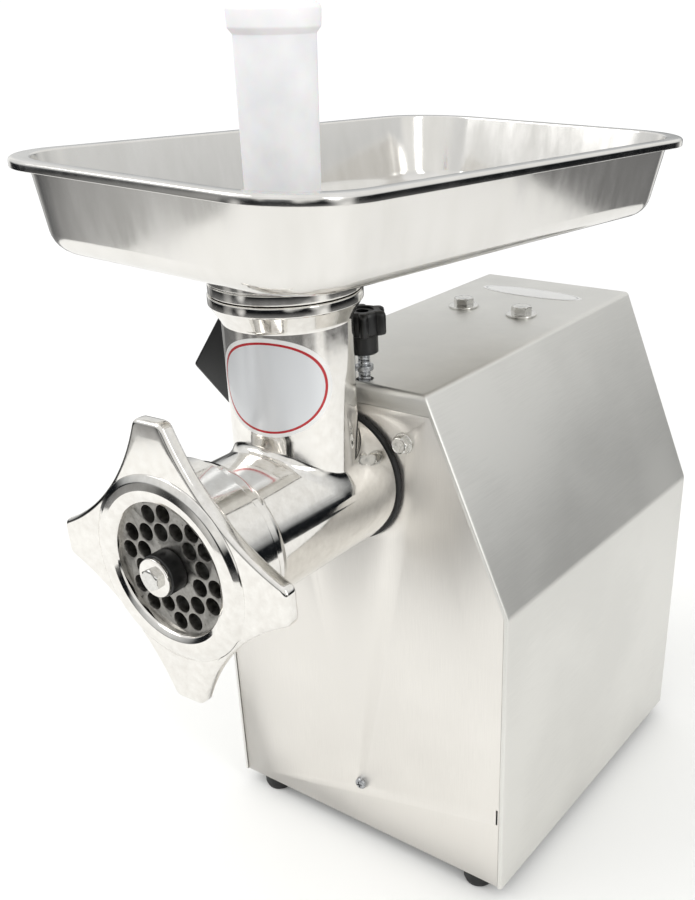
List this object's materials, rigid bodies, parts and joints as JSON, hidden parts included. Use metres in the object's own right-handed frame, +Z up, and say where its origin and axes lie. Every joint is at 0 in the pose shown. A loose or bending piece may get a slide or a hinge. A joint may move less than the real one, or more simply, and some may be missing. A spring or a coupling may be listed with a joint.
{
  "type": "electric meat grinder",
  "caption": "Upright sheet-steel meat grinder with a cast head, star ring nut, hole plate, tipped feed tray, pusher and geared motor inside.",
  "frame": {"origin": "on the surface it stands on, midway between the worm bolt and the cable gland, and between the switch box's corner and the tray's right rim", "axes": "+Z up, +Y from the hole plate towards the rear panel, +X to the right seen from the front"},
  "size_m": [0.202, 0.3656, 0.4493],
  "materials": {
    "brushed_stainless": "brushed stainless sheet",
    "polished_stainless": "polished stainless",
    "cast_polished": "polished tinned casting",
    "tray_steel": "satin pressed stainless tray",
    "zinc_steel": "zinc-plated steel",
    "gear_steel": "hardened gear steel",
    "motor_laminations": "varnished laminations",
    "motor_can": "satin grey enamel",
    "cast_aluminium": "as-cast aluminium",
    "brass": "turned brass",
    "black_rubber": "matte black rubber",
    "black_plastic": "moulded black plastic",
    "dark_plastic": "matte dark plastic",
    "green_plastic": "green push-button plastic",
    "red_plastic": "red push-button plastic",
    "white_plastic": "white polyethylene",
    "label_white": "blank white badge",
    "label_film": "blank silver label with a red edge",
    "fan_plastic": "pale moulded nylon"
  },
  "bodies": {
    "housing": {"housing_shell": "brushed_stainless", "front_panel": "brushed_stainless", "rear_panel": "brushed_stainless", "base_plate": "zinc_steel", "rubber_feet": "black_rubber", "foot_screws": "zinc_steel", "front_panel_screw": "zinc_steel", "rear_panel_screws": "zinc_steel", "top_bolts": "polished_stainless", "top_bolt_washers": "polished_stainless", "top_badge": "label_white", "cable_gland": "dark_plastic", "switch_housing": "black_plastic", "switch_block": "dark_plastic", "gearbox_housing": "cast_aluminium", "gearbox_cover": "cast_aluminium", "gearbox_bolts": "zinc_steel", "hanger_bracket": "zinc_steel", "flange_bolts": "polished_stainless", "flange_washers": "polished_stainless", "socket_gasket": "black_rubber", "oil_seal": "black_rubber", "front_bearings": "zinc_steel", "rear_bearings": "zinc_steel", "motor_case": "motor_can", "motor_stator": "motor_laminations", "motor_cradle": "zinc_steel", "cradle_bolts": "zinc_steel", "run_capacitor": "fan_plastic"},
    "motor_rotor": {"motor_rotor": "motor_laminations", "motor_pinion": "gear_steel", "motor_fan": "fan_plastic"},
    "intermediate_shaft": {"intermediate_shaft": "gear_steel", "intermediate_pinion": "gear_steel", "intermediate_gear": "gear_steel"},
    "output_shaft": {"output_shaft": "gear_steel", "output_gear": "gear_steel"},
    "start_button": {"start_button": "green_plastic"},
    "stop_button": {"stop_button": "red_plastic"},
    "grinder_head": {"grinder_head": "cast_polished", "throat_label": "label_film", "hole_plate": "polished_stainless", "plate_key": "zinc_steel"},
    "worm": {"worm": "cast_polished", "knife": "zinc_steel", "worm_bush": "black_plastic", "worm_washer": "zinc_steel", "worm_bolt": "polished_stainless"},
    "ring_nut": {"ring_nut": "cast_polished"},
    "lock_pad": {"lock_pad": "brass"},
    "lock_screw": {"lock_screw": "zinc_steel", "lock_nut": "zinc_steel", "lock_knob": "black_plastic"},
    "tray": {"tray_pan": "tray_steel", "tray_ring": "polished_stainless"},
    "pusher": {"pusher": "white_plastic"}
  },
  "joints": [
    {"name": "motor_spin", "type": "hinge", "parent": "housing", "child": "motor_rotor", "pos_m": [0.00486, 0.09975, 0.1425], "axis": [0, 1, 0], "continuous": true},
    {"name": "intermediate_spin", "type": "hinge", "parent": "housing", "child": "intermediate_shaft", "pos_m": [0.00486, 0.01975, 0.1875], "axis": [0, 1, 0], "continuous": true},
    {"name": "output_spin", "type": "hinge", "parent": "housing", "child": "output_shaft", "pos_m": [0.00486, 0.00975, 0.2375], "axis": [0, 1, 0], "continuous": true},
    {"name": "worm_spin", "type": "hinge", "parent": "grinder_head", "child": "worm", "pos_m": [0.00486, -0.10025, 0.2375], "axis": [0, 1, 0], "continuous": true},
    {"name": "head_slide", "type": "slide", "parent": "housing", "child": "grinder_head", "axis": [0, -1, 0], "range_m": [0, 0.12]},
    {"name": "ring_nut_turn", "type": "hinge", "parent": "grinder_head", "child": "ring_nut", "pos_m": [0.00486, -0.16025, 0.2375], "axis": [0, -1, 0], "range_deg": [0, 1080]},
    {"name": "lock_lift", "type": "slide", "parent": "housing", "child": "lock_pad", "axis": [0, 0, 1], "range_m": [0, 0.005]},
    {"name": "lock_turn", "type": "hinge", "parent": "lock_pad", "child": "lock_screw", "pos_m": [0.01486, -0.04425, 0.3095], "axis": [0, 0, 1], "range_deg": [0, 1440.5]},
    {"name": "tray_lift", "type": "slide", "parent": "grinder_head", "child": "tray", "axis": [0, 0, 1], "range_m": [0, 0.12]},
    {"name": "pusher_slide", "type": "slide", "parent": "grinder_head", "child": "pusher", "axis": [0, 0, 1], "range_m": [0, 0.17]},
    {"name": "start_press", "type": "slide", "parent": "housing", "child": "start_button", "axis": [0.7934, 0, -0.6088], "range_m": [0, 0.003], "stiffness_N_per_m": 400, "springref_m": -0.002},
    {"name": "stop_press", "type": "slide", "parent": "housing", "child": "stop_button", "axis": [0.7934, 0, -0.6088], "range_m": [0, 0.003], "stiffness_N_per_m": 400, "springref_m": -0.002}
  ],
  "couplings": [
    {"joint": "intermediate_spin", "follows": "motor_spin", "ratio": -0.36364},
    {"joint": "output_spin", "follows": "motor_spin", "ratio": 0.14141},
    {"joint": "worm_spin", "follows": "motor_spin", "ratio": 0.14141},
    {"joint": "lock_turn", "follows": "lock_lift", "rad_per_m": 5026.5}
  ]
}
